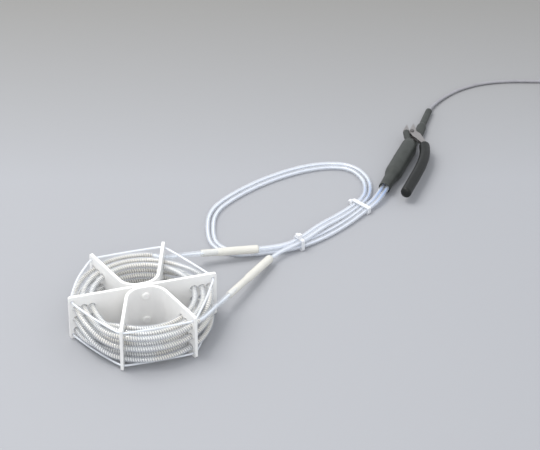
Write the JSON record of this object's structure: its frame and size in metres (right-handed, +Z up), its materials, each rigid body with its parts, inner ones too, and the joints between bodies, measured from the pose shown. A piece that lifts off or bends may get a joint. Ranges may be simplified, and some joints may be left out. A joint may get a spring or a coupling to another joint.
{
  "type": "immersion coil heater",
  "caption": "Tube coil heater on a white plate frame, with a looped pair of lead tubes, a boot with a spring clip and a mains cord.",
  "frame": {"origin": "middle of the centre plate's bottom edge, on the surface that the frame stands on", "axes": "+X along the centre plate towards the lead tubes, +Y away from the front bent plate, +Z up"},
  "size_m": [0.7053, 0.3899, 0.05],
  "materials": {
    "ptfe_plate": "white sheet fluoropolymer, satin",
    "ptfe_bolt": "white turned fluoropolymer, satin",
    "clear_strand": "translucent fluoropolymer monofilament, glossy",
    "clear_tube": "translucent fluoropolymer tube, glossy",
    "heating_wire": "close wound resistance wire, dull",
    "cold_wire": "pale blue insulated wire, glossy",
    "joint_sleeve": "cream translucent shrunk tube, satin",
    "lead_tube": "translucent fluoropolymer tube with a pale blue wire, glossy",
    "tie_nylon": "natural nylon, satin",
    "black_shrink": "black shrunk tube, satin",
    "clip_steel": "nickel plated sheet steel, satin",
    "spring_steel": "spring wire, satin",
    "black_vinyl": "black dipped vinyl, soft gloss",
    "splice_tin": "tinned copper, satin",
    "grey_cord": "grey vinyl cord jacket, satin",
    "grey_plug": "grey moulded vinyl, satin",
    "brass_blade": "brass, satin"
  },
  "bodies": {
    "heater": {"centre_plate": "ptfe_plate", "front_bent_plate": "ptfe_plate", "rear_bent_plate": "ptfe_plate", "plate_bolts": "ptfe_bolt", "plate_nuts": "ptfe_bolt", "upper_tie_strand": "clear_strand", "lower_tie_strand": "clear_strand", "heater_tube": "clear_tube", "heating_core": "heating_wire", "cold_wires": "cold_wire", "rear_joint_sleeve": "joint_sleeve", "front_joint_sleeve": "joint_sleeve", "rear_lead_tube": "lead_tube", "front_lead_tube": "lead_tube", "boot_tie": "tie_nylon", "loop_tie": "tie_nylon", "boot": "black_shrink", "clip_fixed_half": "clip_steel", "clip_pin": "clip_steel", "wire_splices": "splice_tin", "splice_wires": "cold_wire", "cord_relief": "black_shrink", "mains_cord": "grey_cord", "mains_cord_coil": "grey_cord", "mains_cord_tail": "grey_cord", "coil_tie": "tie_nylon", "plug_body": "grey_plug", "plug_blades": "brass_blade"},
    "clip_lever": {"clip_lever_half": "clip_steel", "clip_grip": "black_vinyl", "clip_spring": "spring_steel"}
  },
  "joints": [
    {"name": "clip_squeeze", "type": "hinge", "parent": "heater", "child": "clip_lever", "pos_m": [0.3554, 0.23, 0.013], "axis": [0, 0, -1], "range_deg": [0, 2.8], "stiffness_Nm_per_rad": 0.6}
  ]
}
